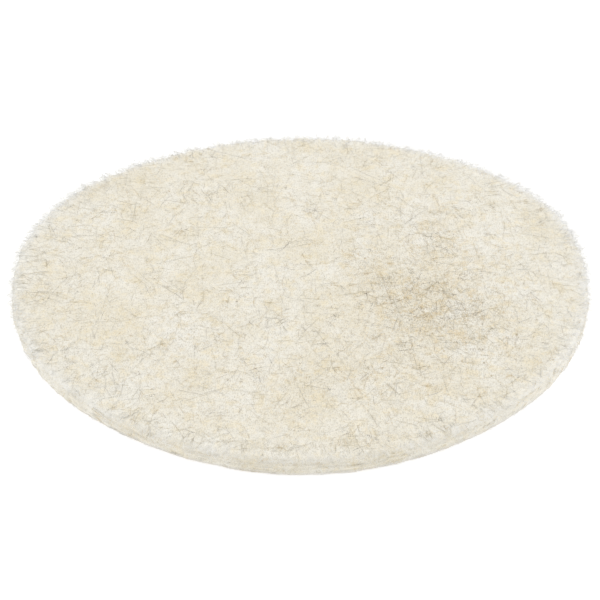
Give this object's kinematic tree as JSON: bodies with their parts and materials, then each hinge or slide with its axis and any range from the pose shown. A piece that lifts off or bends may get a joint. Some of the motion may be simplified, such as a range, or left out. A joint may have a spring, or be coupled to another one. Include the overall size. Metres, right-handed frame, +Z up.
{
  "type": "felt polishing pad",
  "caption": "Round pad of pressed natural wool felt with a peel-and-stick back, bonded to a flat lap to polish stones.",
  "frame": {"origin": "centre of the underside of the release liner, where the pad lies on a surface", "axes": "+Z up through the pad and out of the felt's working face; +Y along the slit between the liner's halves; +X towards release_liner_right"},
  "size_m": [0.1524, 0.1524, 0.005],
  "materials": {
    "felt": "undyed pressed wool felt flecked with tan, grey and dark hairs",
    "adhesive": "translucent amber pressure-sensitive adhesive",
    "liner_paper": "off-white kraft paper with a satin release coat"
  },
  "bodies": {
    "pad": {"felt_disc": "felt", "adhesive_film": "adhesive"},
    "left_liner": {"release_liner_left": "liner_paper"},
    "right_liner": {"release_liner_right": "liner_paper"}
  },
  "joints": [
    {"name": "left_liner_peel", "type": "slide", "parent": "pad", "child": "left_liner", "axis": [-1, 0, 0], "range_m": [0, 0.08]},
    {"name": "right_liner_peel", "type": "slide", "parent": "pad", "child": "right_liner", "axis": [1, 0, 0], "range_m": [0, 0.08]}
  ]
}
